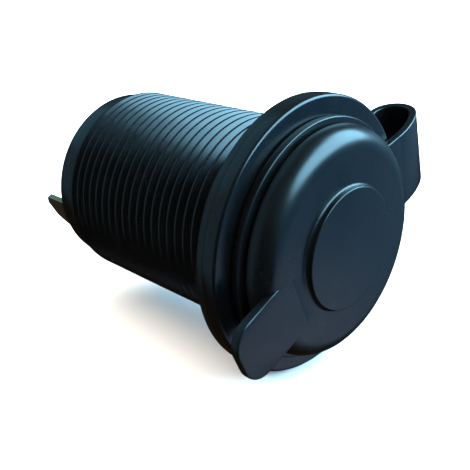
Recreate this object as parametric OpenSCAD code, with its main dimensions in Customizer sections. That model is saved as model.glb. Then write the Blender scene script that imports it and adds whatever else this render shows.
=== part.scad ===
// Panel socket for a 12 volt plug, with a tethered rubber cap.
// Built along +Z out of the mouth, with the panel seat at zero, then laid down so the mouth faces -Y.

/* [Whole] */
// Turn of the whole socket about its axis, as it lies with the strap to one side
roll = -72.5; // [-180:0.5:180]

/* [Barrel] */
// Wall of the barrel at its mouth, up to the thread crests
mouth_wall = 2.25; // [2:0.05:3]
// Length of the barrel from the panel seat to its back end
barrel_len = 34.9; // [31:0.1:45]
// Pitch of the thread
thread_pitch = 1.5; // [1:0.1:2]
// Depth of the thread from crest to root
thread_depth = 0.8; // [0.4:0.05:0.9]
// Width of a thread's flat crest
thread_crest = 0.35; // [0.2:0.05:0.5]
// Length of the plain shoulder between thread and panel seat
shoulder_len = 1.6; // [0.5:0.1:3]
// Depth of the groove in the barrel that holds the tether ring
ring_seat = 0.5; // [0.3:0.05:0.6]
// How far the plain band at the back end lies below the crests
band_step = 0.7; // [0.3:0.05:0.9]
// Width of the plain band
band_len = 2.9; // [1.5:0.1:4]
// Depth of the recess round the feet of the terminals
recess_deep = 2; // [1.8:0.1:3.5]
// Wall of the barrel round that recess
recess_wall = 1.3; // [1:0.1:1.8]
// Thickness of the floor between recess and contact shell
floor_t = 2.4; // [1.6:0.1:4]
// Chamfer at the back rim
rim_chamfer = 0.4; // [0.2:0.1:0.8]

/* [Flange] */
// How far the flange stands out past the thread crests
flange_out = 4; // [3.3:0.1:6]
// Thickness of the flange
flange_t = 1.95; // [1.6:0.05:3]
// Rounding of the flange's front edge
flange_edge = 0.5; // [0.3:0.1:1.3]

/* [Contact shell] */
// Bore of the contact shell
socket_d = 21; // [20.9:0.05:21.4]
// Sheet thickness of the contact shell
shell_t = 0.5; // [0.4:0.05:0.6]
// How far the shell's rolled front lip stands out past the shell
lip_out = 0.6; // [0.5:0.05:1]
// Height of that lip
lip_t = 0.6; // [0.5:0.05:1]
// Height of the shell's narrowed heel
heel_len = 2.7; // [2.6:0.1:3.6]
// How much narrower the shell is at its floor, on each side
heel_in = 0.4; // [0.3:0.05:0.6]
// Width of each spring tongue cut in the shell
tongue_w = 4; // [3:0.1:6]
// Length of each spring tongue
tongue_len = 9; // [6:0.5:14]
// Width of the slot round a tongue
slot_w = 0.8; // [0.5:0.1:1.2]

/* [Centre contact] */
// Room between the insulating washer and the heads of the shell rivets
washer_room = 0.3; // [0.2:0.05:0.8]
// Thickness of the insulating washer
washer_t = 1.2; // [0.8:0.1:2]
// Wall of the washer's collar where it passes through the shell floor
collar_wall = 1.55; // [1:0.05:1.8]
// How far the washer stands out past the centre contact
washer_rim = 0.8; // [0.6:0.1:1.4]
// Sheet thickness of the centre contact
contact_t = 0.6; // [0.4:0.05:0.8]
// Height of the centre contact's turned up rim
contact_rim = 1.3; // [0.9:0.1:2]
// Number of fingers in that rim
finger_count = 6; // [4:1:8]

/* [Rivets] */
// Diameter of a rivet's shank
rivet_d = 3; // [2.4:0.1:3.2]
// Diameter of a rivet's head
rivet_head_d = 4.2; // [3.9:0.1:4.4]
// Height of a rivet's head
rivet_head_t = 0.8; // [0.5:0.05:1]
// Room between the heads of the two shell rivets and the shell's side
rivet_room = 0.6; // [0.3:0.05:0.8]

/* [Terminals] */
// Width of a terminal blade
blade_w = 6.3; // [4.8:0.1:6.3]
// Thickness of a terminal blade
blade_t = 0.8; // [0.5:0.1:1]
// How far the blades stand out past the back rim
blade_out = 9.4; // [7:0.1:14]
// Room between the outer blade and the wall of the recess
blade_room = 1.2; // [1:0.05:1.5]
// How far the inner blade stands off from half a blade's width beside the axis
inner_reach = 1.25; // [0.9:0.05:1.4]
// Length of the chamfer at a blade's tip
tip_long = 1.4; // [0.6:0.1:2]
// Width of that chamfer on each side
tip_side = 1.6; // [0.6:0.1:2]
// Diameter of the latch hole in a blade
latch_d = 1.7; // [1.2:0.1:2]
// Distance of the latch hole from the tip
latch_in = 4.4; // [3.4:0.1:5]
// Turn of the terminals from straight below the axis
terminal_turn = 13.7; // [-60:0.1:60]

/* [Cap] */
// Height of the cap's front above the flange
cap_h = 4.65; // [4.6:0.05:8]
// How far the skirt stays inside the flange's edge
skirt_in = 2.45; // [2:0.05:3.2]
// Height of the skirt
skirt_h = 1.2; // [1:0.1:2]
// Height of the groove above the skirt
groove_h = 0.5; // [0.4:0.1:1]
// Depth of the groove below the dome's side
groove_deep = 1.15; // [0.6:0.05:1.4]
// How far the dome's side stays inside the skirt's edge
dome_in = 0.75; // [0.4:0.05:1.2]
// Rounding between the dome's side and its front
dome_round = 2.9; // [1.5:0.1:2.95]
// Diameter of the raised disc at its top
boss_d = 15.5; // [12:0.1:17]
// Height of the raised disc
boss_h = 0.8; // [0.4:0.05:1.2]
// How much wider the raised disc is at its foot, on each side
boss_flare = 0.45; // [0.2:0.05:0.6]
// Thickness of the cap's front wall
roof_t = 2; // [1.5:0.1:2.4]
// How far the plug reaches below the flange's front face
plug_deep = 2.5; // [2:0.1:3]
// Wall of the hollow plug
plug_wall = 1.8; // [1.2:0.1:2.4]
// Gap between the cap and the flange at rest
cap_gap = 0.1; // [0.05:0.05:0.2]
// Gap between the plug and the side of the mouth
plug_gap = 0.4; // [0.35:0.05:0.5]
// Gap between the plug's end and the contact shell
plug_room = 0.65; // [0.5:0.05:1]

/* [Pull tab] */
// Width of the pull tab
tab_w = 8.5; // [7:0.1:12]
// How far the tab's tip stands out past the flange's edge
tab_out = 2.15; // [0.6:0.05:6]
// Thickness of the tab
tab_t = 1.2; // [0.9:0.1:1.6]
// Radius of the two corners at the tab's tip
tab_corner = 3; // [1:0.1:3]
// Turn of the pull tab from straight opposite the strap
tab_turn = 8.7; // [-20:0.1:20]

/* [Tether] */
// Thickness of the tether ring behind the flange
ring_t = 1.2; // [0.9:0.05:1.5]
// How far the ring stays inside the flange's edge
ring_inset = 0.1; // [0.1:0.05:0.5]
// Width of the strap
strap_w = 10.7; // [8:0.1:12]
// Thickness of the strap
strap_t = 1.2; // [0.9:0.05:1.4]
// Distance of the bend's centre from the flange's edge
bend_off = 5.45; // [4.8:0.05:7]
// Radius of the bend along the middle of the strap
bend_r = 3; // [2.6:0.1:3.2]
// How far behind the panel seat the bend's centre lies
bend_low = 0.6; // [0:0.1:1.5]
// How far the strap's root on the cap reaches past the flange's edge
root_len = 0.3; // [0.2:0.1:1]
// Length of the strap's root on the ring
lug_len = 0.9; // [0.6:0.1:1.2]

/* [Hidden] */
$fn = 96;

// Running clearance between pieces that are pushed together
slip = 0.05;
// Overlap that makes a cut pass clean through a face
over = 0.5;
// Slope of a thread's flanks
thread_flank = 30;
// Chamfers of the flange's back edge and of the mouth
edge_chamfer = 0.3;
// Small edges of the rubber and of the rivet heads
soft_edge = 0.2;
// Rounding inside the hollow plug, at the plug's end and round the skirt's top
hollow_round = 1;
plug_round = 0.4;
skirt_edge = 0.5;
// Rubber left between the dome's rounding and the groove
dome_rest = 0.05;
// Height of a rivet's domed head as a share of its flat one
head_dome = 0.8;
// Distance of a tongue's foot from the top of the shell's heel
tongue_foot = 1.3;
// How far the outer blade's foot stays back from a full blade's width, so it clears the centre
foot_margin = 0.6;
// How far the strap's root is buried in the skirt
root_in = 3;
// Angles between which the strap follows its bend, and the number of its steps
bend_from = -135;
bend_to = 75;
bend_steps = 14;

// Radii, each from the one inside it
bore_r = socket_d / 2;
shell_r = bore_r + shell_t;
mouth_r = shell_r + lip_out;
lip_r = mouth_r - 2 * slip;
plug_r = mouth_r - plug_gap;
plug_inner_r = plug_r - plug_wall;
barrel_r = mouth_r + mouth_wall;
band_r = barrel_r - band_step;
seat_r = barrel_r - ring_seat;
recess_r = band_r - recess_wall;
flange_r = barrel_r + flange_out;
ring_r = flange_r - ring_inset;
skirt_r = flange_r - skirt_in;
dome_r = skirt_r - dome_in;
groove_r = dome_r - groove_deep;

// Distances from the axis, and radii of what stands on the shell's floor
heel_r = bore_r - heel_in;
head_r = rivet_head_d / 2;
rivet_hole_r = rivet_d / 2 + slip;
rivet_offset = heel_r - rivet_room - head_r;
washer_r = rivet_offset - head_r - washer_room;
contact_r = washer_r - washer_rim;
collar_r = rivet_hole_r + collar_wall;
blade_offset = recess_r - blade_room;
inner_offset = blade_w / 2 + inner_reach;

// Heights at the front
flange_back = ring_t;
flange_front = flange_back + flange_t;
plug_end = flange_front - plug_deep;
lip_top = plug_end - plug_room;
lip_seat = lip_top - lip_t;
cap_foot = flange_front + cap_gap;
skirt_top = flange_front + skirt_h;
groove_top = skirt_top + groove_h;
cap_front = flange_front + cap_h;
roof_under = cap_front - roof_t;
dome_edge = min(dome_round, cap_front - groove_top - dome_rest);

// Heights at the back
back_end = -barrel_len;
thread_low = back_end + band_len;
thread_high = -shoulder_len;
thread_count = floor((thread_high - thread_low) / thread_pitch);
recess_top = back_end + recess_deep;
floor_top = recess_top + floor_t;
shell_floor = floor_top + shell_t;
washer_top = shell_floor + washer_t;
contact_top = washer_top + contact_t;
foot_bottom = recess_top - blade_t;
tongue_end = shell_floor + heel_len + tongue_foot;
blade_tip = back_end - blade_out;

// Ends of the strap and the tab
bead_mid = cap_foot + strap_t / 2;
ring_mid = ring_t / 2;
root_end = flange_r + root_len;
lug_end = ring_r + lug_len;
bend_out = flange_r + bend_off;
tab_reach = flange_r + tab_out;

// Points of an arc about (cx, cy) from angle a to angle b
function arc(cx, cy, r, a, b, steps = 8) =
    [for (i = [0:steps]) [cx + r * cos(a + (b - a) * i / steps), cy + r * sin(a + (b - a) * i / steps)]];

// Lays a piece that was built along +Z, with the strap at +Y, down so that +Z becomes -Y
module laid() {
    rotate([90, 0, 0]) rotate([0, 0, roll]) children();
}

// Turns the terminals and their rivets about the axis
module turned() {
    rotate([0, 0, terminal_turn]) children();
}

module round_hole(x, y, r, low, high) {
    translate([x, y, low]) cylinder(h = high - low, r = r);
}

module rivet_holes(r, low, high) {
    for (side = [-1, 1]) round_hole(0, side * rivet_offset, r, low, high);
}

// Outline of one thread ridge, from inside the root to its flat crest at height z
module thread_ridge(z) {
    crest = thread_crest / 2;
    foot = crest + thread_depth * tan(thread_flank);
    translate([barrel_r - thread_depth, z])
        polygon([[-over, -foot], [0, -foot], [thread_depth, -crest], [thread_depth, crest],
            [0, foot], [-over, foot]]);
}

module housing_profile() {
    difference() {
        union() {
            translate([0, back_end]) square([band_r, band_len]);
            translate([0, thread_low]) square([barrel_r - thread_depth, thread_high - thread_low]);
            translate([0, thread_high]) square([barrel_r, -thread_high]);
            translate([0, -over]) square([seat_r, flange_back + 2 * over]);
            for (i = [0:thread_count - 1]) thread_ridge(thread_high - (i + 0.5) * thread_pitch);
            polygon(concat([[0, flange_back], [flange_r - edge_chamfer, flange_back],
                [flange_r, flange_back + edge_chamfer]],
                arc(flange_r - flange_edge, flange_front - flange_edge, flange_edge, 0, 90),
                [[0, flange_front]]));
        }
        translate([0, floor_top]) square([shell_r + slip, flange_front - floor_top]);
        translate([0, lip_seat]) square([mouth_r, flange_front - lip_seat + over]);
        polygon([[0, flange_front - edge_chamfer], [mouth_r, flange_front - edge_chamfer],
            [mouth_r + edge_chamfer, flange_front], [mouth_r + edge_chamfer, flange_front + over],
            [0, flange_front + over]]);
        translate([0, back_end - over]) square([recess_r, recess_deep + over]);
        polygon([[band_r - rim_chamfer, back_end], [barrel_r, back_end - over],
            [barrel_r, back_end + rim_chamfer], [band_r, back_end + rim_chamfer]]);
    }
}

module housing() {
    color("#1d2023") laid() turned() difference() {
        rotate_extrude() housing_profile();
        round_hole(0, 0, rivet_hole_r, recess_top - over, floor_top + over);
        rivet_holes(rivet_hole_r, recess_top - over, floor_top + over);
    }
}

module tongue_slot() {
    translate([bore_r - over, -tongue_w / 2 - slot_w, tongue_end]) difference() {
        cube([shell_t + 2 * over, tongue_w + 2 * slot_w, tongue_len + slot_w]);
        translate([-over, slot_w, -over]) cube([shell_t + 4 * over, tongue_w, tongue_len + over]);
    }
}

module contact_shell() {
    color("silver") laid() turned() difference() {
        rotate_extrude() difference() {
            union() {
                polygon([[0, floor_top], [heel_r + shell_t, floor_top], [shell_r, shell_floor + heel_len],
                    [shell_r, lip_top], [0, lip_top]]);
                translate([0, lip_seat]) square([lip_r - lip_t / 2, lip_t]);
                translate([lip_r - lip_t / 2, lip_seat + lip_t / 2]) circle(r = lip_t / 2);
            }
            polygon([[0, shell_floor], [heel_r, shell_floor], [bore_r, shell_floor + heel_len],
                [bore_r, lip_top + over], [0, lip_top + over]]);
            translate([0, floor_top - over]) square([collar_r + slip, shell_t + 2 * over]);
        }
        rivet_holes(rivet_hole_r, floor_top - over, shell_floor + over);
        for (side = [0, 180]) rotate([0, 0, side]) tongue_slot();
    }
}

module insulating_washer() {
    color("#7a4a2a") laid() difference() {
        union() {
            translate([0, 0, floor_top]) cylinder(h = shell_t + slip, r = collar_r);
            translate([0, 0, shell_floor]) cylinder(h = washer_t, r = washer_r);
        }
        round_hole(0, 0, rivet_hole_r, floor_top - over, washer_top + over);
    }
}

module centre_contact() {
    rim_top = washer_top + contact_rim;
    color("goldenrod") laid() difference() {
        rotate_extrude() polygon([[rivet_hole_r, washer_top], [contact_r - contact_t, washer_top],
            [contact_r, washer_top + contact_t], [contact_r, rim_top], [contact_r - contact_t, rim_top],
            [contact_r - contact_t, washer_top + contact_t], [rivet_hole_r, washer_top + contact_t]]);
        for (i = [0:finger_count - 1]) rotate([0, 0, i * 360 / finger_count])
            translate([contact_r - 1.5 * contact_t, -slot_w / 2, contact_top])
                cube([over + contact_t * 2, slot_w, contact_rim]);
    }
}

// A rivet with a domed head above the plane at high and a flat head below the plane at low
module rivet(low, high) {
    dome_t = rivet_head_t * head_dome;
    rotate_extrude() polygon(concat([[0, low - rivet_head_t], [head_r - soft_edge, low - rivet_head_t],
        [head_r, low - rivet_head_t + soft_edge], [head_r, low], [rivet_d / 2, low], [rivet_d / 2, high],
        [head_r, high]], arc(head_r - dome_t, high, dome_t, 0, 90), [[0, high + dome_t]]));
}

module centre_rivet() {
    color("silver") laid() rivet(foot_bottom, contact_top);
}

module shell_rivet() {
    color("silver") laid() turned() translate([0, rivet_offset, 0]) rivet(recess_top, shell_floor);
}

module ground_rivet() {
    color("silver") laid() turned() translate([0, -rivet_offset, 0]) rivet(foot_bottom, shell_floor);
}

// Flat outline of a blade, tip down, from its shoulder at the top
module blade_outline(top) {
    half = blade_w / 2;
    difference() {
        polygon([[-half, top], [-half, blade_tip + tip_long], [-half + tip_side, blade_tip],
            [half - tip_side, blade_tip], [half, blade_tip + tip_long], [half, top]]);
        translate([0, blade_tip + latch_in]) circle(r = latch_d / 2);
    }
}

// An angled terminal: a foot on the recess floor from near to far, and a blade at its far edge
module terminal(near, far, hole_at) {
    difference() {
        translate([-blade_w / 2, -far, foot_bottom]) cube([blade_w, far - near, blade_t]);
        round_hole(0, -hole_at, rivet_hole_r, foot_bottom - over, recess_top + over);
    }
    translate([0, blade_t - far, 0]) rotate([90, 0, 0]) linear_extrude(blade_t) blade_outline(recess_top);
}

module terminal_positive() {
    color("tan") laid() rotate([0, 0, 180]) turned() terminal(-blade_w / 2, inner_offset, 0);
}

module terminal_negative() {
    near = rivet_offset - blade_w / 2 + foot_margin;
    color("tan") laid() turned() terminal(near, blade_offset, rivet_offset);
}

module tether_ring() {
    bore = seat_r + slip;
    color("#17191b") laid() difference() {
        union() {
            cylinder(h = ring_t, r = ring_r);
            translate([-strap_w / 2, 0, 0]) cube([strap_w, lug_end, ring_t]);
        }
        translate([0, 0, -over]) cylinder(h = ring_t + 2 * over, r = bore);
        translate([0, 0, -over]) cylinder(h = over + ring_seat, r1 = bore + ring_seat + over, r2 = bore);
    }
}

// Middle line of the strap from the ring round the bend to the cap
function strap_line() = concat(
    [[lug_end, ring_mid]],
    arc(bend_out, -bend_low, bend_r, bend_from, bend_to, bend_steps),
    [[root_end, bead_mid]]);

// Points offset sideways from a line by d
function beside(line, d) = [for (i = [0:len(line) - 1])
    let(a = line[max(i - 1, 0)], b = line[min(i + 1, len(line) - 1)], v = b - a, n = norm(v))
    i == 0 || i == len(line) - 1 ? line[i] + [0, (i == 0 ? -1 : 1) * d] : line[i] + [v[1], -v[0]] * d / n];

module strap() {
    line = strap_line();
    outer = beside(line, strap_t / 2);
    inner = beside(line, -strap_t / 2);
    color("#17191b") laid() rotate([90, 0, 90]) translate([0, 0, -strap_w / 2]) linear_extrude(strap_w)
        polygon(concat(outer, [for (i = [len(inner) - 1:-1:0]) inner[i]]));
}

module cap_profile() {
    boss_r = boss_d / 2;
    difference() {
        polygon(concat([[0, plug_end], [plug_r - plug_round, plug_end], [plug_r, plug_end + plug_round],
            [plug_r, cap_foot], [skirt_r - soft_edge, cap_foot], [skirt_r, cap_foot + soft_edge]],
            arc(skirt_r - skirt_edge, skirt_top - skirt_edge, skirt_edge, 0, 90),
            [[groove_r, skirt_top], [groove_r, groove_top], [dome_r, groove_top]],
            arc(dome_r - dome_edge, cap_front - dome_edge, dome_edge, 0, 90),
            [[boss_r + boss_flare, cap_front], [boss_r, cap_front + boss_h - soft_edge],
            [boss_r - soft_edge, cap_front + boss_h], [0, cap_front + boss_h]]));
        polygon(concat([[0, plug_end - over], [plug_inner_r, plug_end - over]],
            arc(plug_inner_r - hollow_round, roof_under - hollow_round, hollow_round, 0, 90),
            [[0, roof_under]]));
    }
}

// Tab with two rounded corners at its tip, its face level with the cap's front
module pull_tab() {
    side = tab_w / 2 - tab_corner;
    corner_y = tab_corner - tab_reach;
    rotate([0, 0, tab_turn]) translate([0, 0, cap_front - tab_t]) {
        translate([-tab_w / 2, corner_y, 0]) cube([tab_w, -corner_y - plug_inner_r, tab_t]);
        translate([-side, -tab_reach, 0]) cube([2 * side, 2 * tab_corner, tab_t]);
        for (way = [-1, 1]) translate([way * side, corner_y, 0]) cylinder(h = tab_t, r = tab_corner);
    }
}

module cap() {
    root_start = skirt_r - root_in;
    color("#1b1e20") laid() union() {
        rotate_extrude() cap_profile();
        pull_tab();
        translate([-strap_w / 2, root_start, bead_mid - strap_t / 2])
            cube([strap_w, root_end - root_start, strap_t]);
    }
}

housing();
contact_shell();
insulating_washer();
centre_contact();
centre_rivet();
shell_rivet();
ground_rivet();
terminal_positive();
terminal_negative();
tether_ring();
strap();
cap();
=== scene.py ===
"""Looks of the panel socket: threaded nylon barrel, rubber cap on its strap and plated contacts."""

import math

import bmesh
import bpy
from mathutils import Matrix, Vector


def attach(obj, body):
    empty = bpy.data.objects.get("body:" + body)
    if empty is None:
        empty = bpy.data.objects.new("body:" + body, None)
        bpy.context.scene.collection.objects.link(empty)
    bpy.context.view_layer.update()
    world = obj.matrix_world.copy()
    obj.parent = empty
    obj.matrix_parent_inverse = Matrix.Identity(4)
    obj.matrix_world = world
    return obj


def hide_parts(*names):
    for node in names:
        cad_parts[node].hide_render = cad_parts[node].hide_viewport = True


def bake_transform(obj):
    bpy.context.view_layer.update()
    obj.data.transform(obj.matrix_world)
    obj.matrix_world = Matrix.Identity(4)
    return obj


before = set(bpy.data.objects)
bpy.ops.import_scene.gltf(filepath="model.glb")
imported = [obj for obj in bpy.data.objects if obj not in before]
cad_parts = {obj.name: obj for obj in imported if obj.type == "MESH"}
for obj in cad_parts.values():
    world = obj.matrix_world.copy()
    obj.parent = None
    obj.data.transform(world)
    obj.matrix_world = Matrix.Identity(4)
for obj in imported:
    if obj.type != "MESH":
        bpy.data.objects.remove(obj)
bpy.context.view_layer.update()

# Sizes in millimetres. Pieces are drawn along +Z out of the mouth with the strap at +Y, then laid down.
MM = 0.001
ROLL = math.radians(-72.5)
LAID = Matrix.Scale(MM, 4) @ Matrix.Rotation(math.pi / 2, 4, "X") @ Matrix.Rotation(ROLL, 4, "Z")
COLUMNS = 192

# The housing: thread, plain end band, recess, floor, mouth and flange.
CREST_R = 13.85
ROOT_R = 13.05
BAND_R = 13.15
PITCH = 1.512
THREAD_LOW = -32.0
THREAD_HIGH = -1.6
THREAD_SHIFT = 0.21
CREST_HALF = 0.175
FOOT_HALF = 0.63
THREAD_EDGE = 0.05
RUN_IN = 0.3 * PITCH
BACK_END = -34.9
RECESS_TOP = -32.9
RECESS_R = 11.9
FLOOR_TOP = -30.5
SHELL_R = 11.05
LIP_SEAT = -0.6
MOUTH_R = 11.6
MOUTH_BEVEL = 0.3
FLANGE_R = 17.845
FLANGE_BACK = 1.2
FLANGE_FRONT = 3.15
SEAT_R = 13.35

# The ring behind the flange.
RING_R = 17.75
RING_BORE = 13.4
RING_T = 1.2

# The cap: skirt, groove, dome, raised disc, hollow plug and pull tab.
CAP_FOOT = 3.25
CAP_FRONT = 7.8
SKIRT_R = 15.4
SKIRT_TOP = 4.35
GROOVE_R = 13.5
GROOVE_DRAFT = 0.05
GROOVE_TOP = 4.85
DOME_R = 14.65
DOME_ROUND = 2.75
BOSS_R = 7.75
BOSS_FOOT_R = 8.2
BOSS_FILLET = 0.4
BOSS_H = 0.8
PLUG_R = 11.2
PLUG_END = 0.65
PLUG_INNER_R = 9.4
ROOF_UNDER = 5.8
TAB_W = 8.5
TAB_INNER = BOSS_FOOT_R + 1.2
TAB_REACH = 20.0
TAB_T = 1.2
TAB_CORNER = 3.0
TAB_TURN = math.radians(8.7)

# The strap: its section, its way out of the ring, its bend, whose turn is in degrees, and its root.
STRAP_W = 10.7
STRAP_T = 1.05
LUG_SINK = 1.5
LUG_END = 18.65
LUG_DROP = 0.05
BEND_OUT = 23.3
BEND_Z = -0.6
BEND_R = 3.0
BEND_TURN = (-135, 25)
BEND_PULL = 1.9
ROOT_PULL = 3.4
TAIL_STEPS = 12
ROOT_END = 18.15
ROOT_LAP = 0.3
ROOT_INNER = GROOVE_R - 1
BEAD_MID = 3.75

# The camera's place in millimetres, and its way in degrees: from +Y towards +X, and above the horizon.
CAMERA_PLACE = (-64.39, -52.63, 32.0)
CAMERA_AZIMUTH = 45.2
CAMERA_HEIGHT = -21.43
CAMERA_LENS = 53.05

# The share of a light patch's radius that is evenly bright.
PATCH_CORE = 0.75

# The stage in metres, but for the gap under the flange in millimetres.
FLOOR_HALF = 3.0
FLOOR_GAP = 0.02
SLOPE_FOOT = (2.9, -FLANGE_R * MM)
SLOPE_TOP = (6.0, 4.0)
SLOPE_COLUMNS = 96


def new_object(name, bm, sharp=32.0):
    """Turns a bmesh in drawing millimetres into an object in the frame, smooth but for its sharp edges."""
    bmesh.ops.remove_doubles(bm, verts=bm.verts, dist=1e-4)
    bmesh.ops.dissolve_degenerate(bm, edges=bm.edges, dist=1e-5)
    bmesh.ops.recalc_face_normals(bm, faces=bm.faces)
    for face in bm.faces:
        face.smooth = True
    for edge in bm.edges:
        edge.smooth = edge.calc_face_angle(0) < math.radians(sharp)
    bm.transform(LAID)
    mesh = bpy.data.meshes.new(name)
    bm.to_mesh(mesh)
    bm.free()
    obj = bpy.data.objects.new(name, mesh)
    bpy.context.scene.collection.objects.link(obj)
    return obj


def arc(cx, cz, r, start, end, steps=8):
    """Points of an arc in the (r, z) plane, from one angle in degrees to another."""
    turns = [math.radians(start + (end - start) * i / steps) for i in range(steps + 1)]
    return [(cx + r * math.cos(t), cz + r * math.sin(t)) for t in turns]


def rounded(corners, steps=5):
    """Points along a line of (r, z, fillet) corners, with an arc at each corner that has a fillet."""
    points = []
    for i, (r, z, fillet) in enumerate(corners):
        here = Vector((r, z))
        if fillet <= 0 or i in (0, len(corners) - 1):
            points.append((r, z))
            continue
        to_last = (Vector(corners[i - 1][:2]) - here).normalized()
        to_next = (Vector(corners[i + 1][:2]) - here).normalized()
        half = to_last.angle(to_next) / 2
        reach = fillet / math.tan(half)
        centre = here + (to_last + to_next).normalized() * (fillet / math.sin(half))
        first = (here + to_last * reach - centre).normalized()
        last = (here + to_next * reach - centre).normalized()
        for k in range(steps + 1):
            points.append(tuple(centre + first.slerp(last, k / steps) * fillet))
    return points


def lathe(bm, points, columns=COLUMNS):
    """Revolves a line of (r, z) points round the Z axis, with poles where r is zero."""
    rings = []
    for r, z in points:
        if r < 1e-6:
            rings.append([bm.verts.new((0, 0, z))] * columns)
            continue
        turns = [2 * math.pi * j / columns for j in range(columns)]
        rings.append([bm.verts.new((r * math.cos(t), r * math.sin(t), z)) for t in turns])
    for low, high in zip(rings, rings[1:]):
        for j in range(columns):
            k = (j + 1) % columns
            quad = [low[j], low[k], high[k], high[j]]
            face = list(dict.fromkeys(quad))
            if len(face) > 2:
                bm.faces.new(face)


def thread_rows():
    """One pitch of the thread's outline, as (distance along the axis, radius), over its crest."""
    crest, foot, edge = CREST_HALF, FOOT_HALF, THREAD_EDGE
    half = [(foot + edge, ROOT_R), (foot - edge / 2, ROOT_R + edge)]
    half += [(crest + edge / 2, CREST_R - edge), (crest - edge, CREST_R)]
    return [(-z, r) for z, r in half] + [(z, r) for z, r in reversed(half)]


def helical_thread(bm, columns=COLUMNS):
    """The thread between its two end rings, as a grid whose rows climb one pitch a turn."""
    rows = thread_rows()
    grid = []
    for lap in range(-2, int((THREAD_HIGH - THREAD_LOW) / PITCH) + 2):
        for along, radius in rows:
            ring = []
            for j in range(columns + 1):
                turn = 2 * math.pi * j / columns
                z = THREAD_LOW + THREAD_SHIFT + along + PITCH * (lap + j / columns)
                end, end_r = min((z - THREAD_LOW, BAND_R), (THREAD_HIGH - z, CREST_R))
                r = end_r + (radius - end_r) * min(1.0, max(0.0, end / RUN_IN))
                z = min(THREAD_HIGH, max(THREAD_LOW, z))
                ring.append(bm.verts.new((r * math.cos(turn), r * math.sin(turn), z)))
            grid.append(ring)
    for low, high in zip(grid, grid[1:]):
        for j in range(columns):
            bm.faces.new((low[j], low[j + 1], high[j + 1], high[j]))


def make_housing():
    bm = bmesh.new()
    helical_thread(bm)
    lathe(bm, rounded([(BAND_R, THREAD_LOW, 0), (BAND_R, BACK_END, 0.4), (RECESS_R, BACK_END, 0.2),
        (RECESS_R, RECESS_TOP, 0.2), (0, RECESS_TOP, 0)]))
    lathe(bm, rounded([(CREST_R, THREAD_HIGH, 0), (CREST_R, 0, 0.1), (SEAT_R, 0, 0.1),
        (SEAT_R, FLANGE_BACK, 0.15), (FLANGE_R, FLANGE_BACK, 0.1), (FLANGE_R, FLANGE_FRONT, 0.45),
        (MOUTH_R + MOUTH_BEVEL, FLANGE_FRONT, 0.1), (MOUTH_R, FLANGE_FRONT - MOUTH_BEVEL, 0.1),
        (MOUTH_R, LIP_SEAT, 0.1), (SHELL_R, LIP_SEAT, 0.05), (SHELL_R, FLOOR_TOP, 0.1), (0, FLOOR_TOP, 0)]))
    return new_object("threaded_housing", bm, sharp=50)


def make_ring():
    bm = bmesh.new()
    corners = [(RING_BORE, RING_T / 2, 0), (RING_BORE, 0, 0.15), (RING_R, 0, 0.3), (RING_R, RING_T, 0.1),
        (RING_BORE, RING_T, 0.15), (RING_BORE, RING_T / 2, 0)]
    lathe(bm, rounded(corners))
    return new_object("rubber_ring", bm)


def band_section(width, thickness, edge=0.2, steps=4):
    """Closed outline of a flat band's section with rounded edges, as (across, up) points."""
    x, y = width / 2 - edge, thickness / 2 - edge
    points = []
    for cx, cy, start in ((x, y, 0), (-x, y, 90), (-x, -y, 180), (x, -y, 270)):
        points += arc(cx, cy, edge, start, start + 90, steps)
    return points


def strap_line():
    """Middle line of the strap in the (y, z) plane, from inside the ring to its root on the cap."""
    lug = [(RING_R - LUG_SINK, RING_T / 2), (LUG_END, RING_T / 2 - LUG_DROP)]
    bend = arc(BEND_OUT, BEND_Z, BEND_R, *BEND_TURN, 20)
    start, end = Vector(bend[-1]), Vector((ROOT_END - ROOT_LAP, BEAD_MID))
    near = start + BEND_PULL * (start - Vector(bend[-2])).normalized()
    far = end + Vector((ROOT_PULL, 0))
    tail = []
    for k in range(1, TAIL_STEPS + 1):
        t = k / TAIL_STEPS
        u = 1 - t
        tail.append(tuple(start * u**3 + near * (3 * u * u * t) + far * (3 * u * t * t) + end * t**3))
    return lug + bend + tail


def smooth_line(points, per_span=6):
    """A smooth line through the points, with even steps on each span."""
    line = []
    for i in range(len(points) - 1):
        p0, p1, p2, p3 = (Vector(points[min(max(k, 0), len(points) - 1)]) for k in range(i - 1, i + 3))
        reach = (p2 - p1).length
        m1 = (p2 - p0).normalized() * reach
        m2 = (p3 - p1).normalized() * reach
        for k in range(per_span):
            t = k / per_span
            a = 2 * t**3 - 3 * t**2 + 1
            b = t**3 - 2 * t**2 + t
            c = -2 * t**3 + 3 * t**2
            d = t**3 - t**2
            line.append(p1 * a + m1 * b + p2 * c + m2 * d)
    line.append(Vector(points[-1]))
    return line


def band_along(name, line, section):
    """A band with the same section all along a line of the (y, z) plane."""
    bm = bmesh.new()
    rings = []
    for i, here in enumerate(line):
        way = (line[min(i + 1, len(line) - 1)] - line[max(i - 1, 0)]).normalized()
        side = Vector((-way.y, way.x))
        rings.append([bm.verts.new((x, here.x + side.x * up, here.y + side.y * up)) for x, up in section])
    count = len(section)
    for low, high in zip(rings, rings[1:]):
        for j in range(count):
            bm.faces.new((low[j], low[(j + 1) % count], high[(j + 1) % count], high[j]))
    bm.faces.new(rings[0])
    bm.faces.new(rings[-1])
    return new_object(name, bm)


def make_strap():
    """The strap in two lengths that meet at the lowest point of its bend."""
    line = smooth_line(strap_line())
    section = band_section(STRAP_W, STRAP_T)
    lowest = min(range(len(line)), key=lambda i: line[i].y)
    foot = band_along("strap_foot", line[:lowest + 1], section)
    return foot, band_along("strap_bend", line[lowest:], section)


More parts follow.
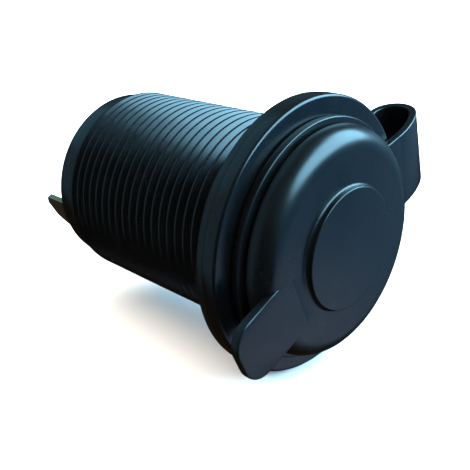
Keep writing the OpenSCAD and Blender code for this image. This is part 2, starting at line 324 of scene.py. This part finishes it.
def slab(outline, low, high, edge=0.25, steps=3):
    """Bmesh of a flat slab with rounded rims, from an outline of (x, y) points that runs anticlockwise."""
    bm = bmesh.new()
    count = len(outline)
    inward = []
    for j in range(count):
        way = Vector(outline[(j + 1) % count]) - Vector(outline[j - 1])
        inward.append(Vector((-way.y, way.x)).normalized())
    levels = [(edge - edge * math.sin(t), low + edge - edge * math.cos(t)) for t in
        (math.pi / 2 * k / steps for k in range(steps + 1))]
    levels += [(inset, low + high - z) for inset, z in reversed(levels)]
    rings = []
    for inset, z in levels:
        ring = []
        for (x, y), way in zip(outline, inward):
            ring.append(bm.verts.new((x + way.x * inset, y + way.y * inset, z)))
        rings.append(ring)
    for one, two in zip(rings, rings[1:]):
        for j in range(count):
            bm.faces.new((one[j], one[(j + 1) % count], two[(j + 1) % count], two[j]))
    bm.faces.new(rings[0])
    bm.faces.new(rings[-1])
    bmesh.ops.recalc_face_normals(bm, faces=bm.faces)
    return bm


def join_solids(base, extras):
    """Unites bmesh solids in drawing millimetres and returns one bmesh."""
    objects = []
    for k, bm in enumerate([base] + extras):
        mesh = bpy.data.meshes.new("solid")
        bmesh.ops.recalc_face_normals(bm, faces=bm.faces)
        bm.to_mesh(mesh)
        bm.free()
        obj = bpy.data.objects.new("solid_%d" % k, mesh)
        bpy.context.scene.collection.objects.link(obj)
        objects.append(obj)
    for extra in objects[1:]:
        cut = objects[0].modifiers.new("unite", "BOOLEAN")
        cut.operation = "UNION"
        cut.solver = "EXACT"
        cut.object = extra
    view = bpy.context.evaluated_depsgraph_get()
    result = bmesh.new()
    result.from_mesh(objects[0].evaluated_get(view).to_mesh())
    for obj in objects:
        bpy.data.objects.remove(obj)
    return result


def tab_outline():
    """Outline of the pull tab, with two rounded corners, turned a little from opposite the strap."""
    half, side = TAB_W / 2, TAB_W / 2 - TAB_CORNER
    inner, corner = -TAB_INNER, TAB_CORNER - TAB_REACH
    points = [(half, inner), (-half, inner)]
    points += arc(-side, corner, TAB_CORNER, 180, 270, 12) + arc(side, corner, TAB_CORNER, 270, 360, 12)
    turn = Matrix.Rotation(TAB_TURN, 2)
    return [tuple(turn @ Vector(point)) for point in points]


def make_cap():
    body = bmesh.new()
    lathe(body, rounded([(0, ROOF_UNDER, 0), (PLUG_INNER_R, ROOF_UNDER, 1.0), (PLUG_INNER_R, PLUG_END, 0.3),
        (PLUG_R, PLUG_END, 0.4), (PLUG_R, CAP_FOOT, 0.2), (SKIRT_R, CAP_FOOT, 0.3), (SKIRT_R, SKIRT_TOP, 0.2),
        (GROOVE_R, SKIRT_TOP + GROOVE_DRAFT, 0.15), (GROOVE_R, GROOVE_TOP, 0.1), (DOME_R, GROOVE_TOP, 0.1),
        (DOME_R, CAP_FRONT, DOME_ROUND),
        (BOSS_FOOT_R - BOSS_FILLET, CAP_FRONT, BOSS_FILLET), (BOSS_R, CAP_FRONT + BOSS_H, 0.16),
        (0, CAP_FRONT + BOSS_H, 0)], steps=8))
    tab = slab(tab_outline(), CAP_FRONT - TAB_T, CAP_FRONT)
    half = STRAP_W / 2
    root = slab([(half, ROOT_INNER), (half, ROOT_END), (-half, ROOT_END), (-half, ROOT_INNER)],
        BEAD_MID - STRAP_T / 2, BEAD_MID + STRAP_T / 2)
    return new_object("rubber_cap", join_solids(body, [tab, root]), sharp=40)


class Nodes:
    """A material's node tree, with short calls that add and join nodes."""

    def __init__(self, name):
        self.material = bpy.data.materials.new(name)
        self.material.use_nodes = True
        self.tree = self.material.node_tree
        self.shader = self.tree.nodes["Principled BSDF"]
        self.place = self.tree.nodes.new("ShaderNodeTexCoord").outputs["Object"]

    def join(self, start, end):
        self.tree.links.new(start, end)

    def noise(self, scale, detail=4.0, rough=0.55, stretch=(1, 1, 1)):
        mapping = self.tree.nodes.new("ShaderNodeMapping")
        mapping.inputs["Scale"].default_value = stretch
        self.join(self.place, mapping.inputs["Vector"])
        node = self.tree.nodes.new("ShaderNodeTexNoise")
        node.inputs["Scale"].default_value = scale
        node.inputs["Detail"].default_value = detail
        node.inputs["Roughness"].default_value = rough
        self.join(mapping.outputs["Vector"], node.inputs["Vector"])
        return node.outputs["Fac"]

    def spread(self, value, low, high, to_low, to_high):
        node = self.tree.nodes.new("ShaderNodeMapRange")
        for slot, number in zip(("From Min", "From Max", "To Min", "To Max"), (low, high, to_low, to_high)):
            node.inputs[slot].default_value = number
        self.join(value, node.inputs["Value"])
        return node.outputs["Result"]

    def mix(self, factor, one, two):
        node = self.tree.nodes.new("ShaderNodeMix")
        node.data_type = "RGBA"
        self.join(factor, node.inputs["Factor"])
        for value, slot in ((one, node.inputs[6]), (two, node.inputs[7])):
            if isinstance(value, tuple):
                slot.default_value = (*value, 1)
            else:
                self.join(value, slot)
        return node.outputs[2]

    def bump(self, height, strength, distance):
        node = self.tree.nodes.new("ShaderNodeBump")
        node.inputs["Strength"].default_value = strength
        node.inputs["Distance"].default_value = distance
        self.join(height, node.inputs["Height"])
        self.join(node.outputs["Normal"], self.shader.inputs["Normal"])

    def colour(self, value):
        self.join(value, self.shader.inputs["Base Color"])

    def roughness(self, value):
        self.join(value, self.shader.inputs["Roughness"])

    def fixed(self, slot, value):
        self.shader.inputs[slot].default_value = value


def nylon():
    """Moulded black nylon, satin, with faint flow marks."""
    m = Nodes("black_nylon")
    flow = m.noise(160, 5)
    m.colour(m.mix(m.spread(flow, 0.3, 0.7, 0, 1), (0.0007, 0.0007, 0.0008), (0.0013, 0.0014, 0.0015)))
    m.roughness(m.spread(m.noise(420, 4), 0.3, 0.7, 0.2, 0.28))
    m.bump(m.noise(900, 2), 0.05, 0.00002)
    m.fixed("IOR", 1.5)
    return m.material


def rubber():
    """Smooth black rubber with a soft satin skin and faint mould haze."""
    m = Nodes("black_rubber")
    haze = m.noise(110, 6)
    m.colour(m.mix(m.spread(haze, 0.3, 0.7, 0, 1), (0.0009, 0.001, 0.0011), (0.0016, 0.0018, 0.002)))
    m.roughness(m.spread(m.noise(350, 5), 0.3, 0.7, 0.26, 0.34))
    m.bump(m.noise(700, 2), 0.04, 0.00002)
    m.fixed("IOR", 1.5)
    return m.material


def metal(name, light, dark, rough_low, rough_high, stretch=(1, 1, 1), scale=500):
    """Metal with fine drawn or stamped grain and slight tarnish."""
    m = Nodes(name)
    m.colour(m.mix(m.spread(m.noise(220, 5), 0.35, 0.65, 0, 1), light, dark))
    grain = m.noise(scale, 4, 0.6, stretch)
    m.roughness(m.spread(grain, 0.3, 0.7, rough_low, rough_high))
    m.bump(grain, 0.15, 0.00003)
    m.fixed("Metallic", 1.0)
    return m.material


def fibre():
    """Pressed brown fibre board with short strands."""
    m = Nodes("brown_fibre")
    strands = m.noise(900, 6, 0.7, (1, 1, 6))
    m.colour(m.mix(m.spread(strands, 0.3, 0.7, 0, 1), (0.16, 0.07, 0.03), (0.3, 0.15, 0.07)))
    m.roughness(m.spread(m.noise(600, 3), 0.3, 0.7, 0.5, 0.7))
    m.bump(strands, 0.3, 0.00005)
    return m.material


def dress(obj, material, body=None, replaces=()):
    """Gives a piece its material and a new piece its body, and hides the nodes it stands for."""
    obj.data.materials.clear()
    obj.data.materials.append(material)
    if body:
        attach(obj, body)
    if replaces:
        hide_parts(*replaces)


def dress_node(name, material):
    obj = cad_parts[name]
    for place in obj.material_slots:
        place.material = material


def toward(azimuth, height):
    """Unit vector at an azimuth from +Y towards +X and a height above the horizon, in degrees."""
    turn, rise = math.radians(azimuth), math.radians(height)
    return Vector((math.sin(turn) * math.cos(rise), math.cos(turn) * math.cos(rise), math.sin(rise)))


def studio_light():
    """A surround of broad soft patches for window and room, each as (azimuth, height, radius, colour)."""
    patches = [
        (135, -24, 70, (0.08, 0.30, 0.61)),
        (150, -65, 50, (0.50, 0.66, 0.94)),
        (92, -12, 34, (0.16, 0.36, 0.58)),
        (30, -50, 70, (0.025, 0.014, 0.005)),
        (235, -15, 60, (0.012, 0.014, 0.016)),
        (300, 5, 40, (0.13, 0.26, 0.34)),
        (346, 47, 32, (0.18, 0.49, 0.69)),
        (115, 36, 24, (5.0, 11.0, 15.0)),
        (140, 40, 25, (5.0, 11.0, 15.0)),
        (165, 38, 22, (5.0, 11.0, 15.0)),
    ]
    room = (0.07, 0.13, 0.17)
    world = bpy.data.worlds.new("surround")
    world.use_nodes = True
    tree = world.node_tree
    way = tree.nodes.new("ShaderNodeTexCoord").outputs["Generated"]
    colour = None
    for azimuth, height, radius, light in patches:
        near = tree.nodes.new("ShaderNodeVectorMath")
        near.operation = "DOT_PRODUCT"
        tree.links.new(way, near.inputs[0])
        near.inputs[1].default_value = toward(azimuth, height)
        edge = tree.nodes.new("ShaderNodeMapRange")
        edge.interpolation_type = "SMOOTHSTEP"
        edge.inputs["From Min"].default_value = math.cos(math.radians(radius))
        edge.inputs["From Max"].default_value = math.cos(math.radians(radius * PATCH_CORE))
        tree.links.new(near.outputs["Value"], edge.inputs["Value"])
        mix = tree.nodes.new("ShaderNodeMix")
        mix.data_type = "RGBA"
        tree.links.new(edge.outputs["Result"], mix.inputs["Factor"])
        if colour is None:
            mix.inputs[6].default_value = (*room, 1)
        else:
            tree.links.new(colour, mix.inputs[6])
        mix.inputs[7].default_value = (*light, 1)
        colour = mix.outputs[2]
    tree.links.new(colour, tree.nodes["Background"].inputs["Color"])
    bpy.context.scene.world = world


def make_camera():
    """The photograph's view, found from the circles of the flange, the disc and the thread."""
    way = toward(CAMERA_AZIMUTH, CAMERA_HEIGHT)
    data = bpy.data.cameras.new("camera")
    data.sensor_width = 36.0
    data.lens = CAMERA_LENS
    data.clip_start = 0.005
    data.clip_end = 20.0
    obj = bpy.data.objects.new("camera", data)
    bpy.context.scene.collection.objects.link(obj)
    obj.location = Vector(CAMERA_PLACE) * MM
    obj.rotation_euler = way.to_track_quat("-Z", "Y").to_euler()
    bpy.context.scene.camera = obj


def stage_piece(name, bm, material):
    """A piece of the stage, in metres, which gives no reflections."""
    mesh = bpy.data.meshes.new(name)
    bm.to_mesh(mesh)
    bm.free()
    obj = bpy.data.objects.new(name, mesh)
    bpy.context.scene.collection.objects.link(obj)
    dress(obj, material)
    obj.visible_glossy = False
    return obj


def make_stage():
    """A pale floor under the flange, a pale slope round it that only the camera sees, and a soft light."""
    m = Nodes("pale_floor")
    m.colour(m.mix(m.noise(3, 2), (0.86, 0.86, 0.86), (0.9, 0.9, 0.9)))
    m.fixed("Roughness", 0.9)
    m.fixed("Specular IOR Level", 0.1)
    bm = bmesh.new()
    bmesh.ops.create_grid(bm, x_segments=8, y_segments=8, size=FLOOR_HALF)
    floor = stage_piece("floor", bm, m.material)
    floor.location = (0, 0, -(FLANGE_R + FLOOR_GAP) * MM)
    bm = bmesh.new()
    lathe(bm, [SLOPE_FOOT, SLOPE_TOP], SLOPE_COLUMNS)
    backdrop = stage_piece("backdrop", bm, m.material)
    backdrop.visible_diffuse = backdrop.visible_shadow = False
    data = bpy.data.lights.new("soft_sky", "SUN")
    data.energy = 9.0
    data.angle = math.radians(120)
    data.color = (1.0, 0.9, 0.8)
    sky = bpy.data.objects.new("soft_sky", data)
    bpy.context.scene.collection.objects.link(sky)
    sky.visible_glossy = False


make_camera()
make_stage()
studio_light()
bpy.context.scene.view_settings.view_transform = "Standard"

NYLON, RUBBER = nylon(), rubber()
dress(make_housing(), NYLON, "socket", ["housing"])
dress(make_ring(), RUBBER, "socket", ["tether_ring"])
dress(make_cap(), RUBBER, "cap", ["cap"])
strap_foot, strap_bend = make_strap()
dress(strap_foot, RUBBER, "socket", ["strap"])
dress(strap_bend, RUBBER, None, ["strap"])
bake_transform(strap_bend)

NICKEL = metal("nickel_plate", (0.72, 0.7, 0.66), (0.6, 0.58, 0.54), 0.18, 0.3, (1, 0.1, 1))
BRASS = metal("stamped_brass", (0.72, 0.52, 0.22), (0.6, 0.42, 0.17), 0.25, 0.4)
TINNED = metal("tinned_brass", (0.64, 0.45, 0.28), (0.5, 0.34, 0.2), 0.38, 0.55)
ZINC = metal("zinc_rivet", (0.6, 0.6, 0.6), (0.45, 0.45, 0.46), 0.3, 0.45)
dress_node("contact_shell", NICKEL)
dress_node("centre_contact", BRASS)
dress_node("insulating_washer", fibre())
for rivet in ("centre_rivet", "shell_rivet", "ground_rivet"):
    dress_node(rivet, ZINC)
for terminal in ("terminal_positive", "terminal_negative"):
    dress_node(terminal, TINNED)
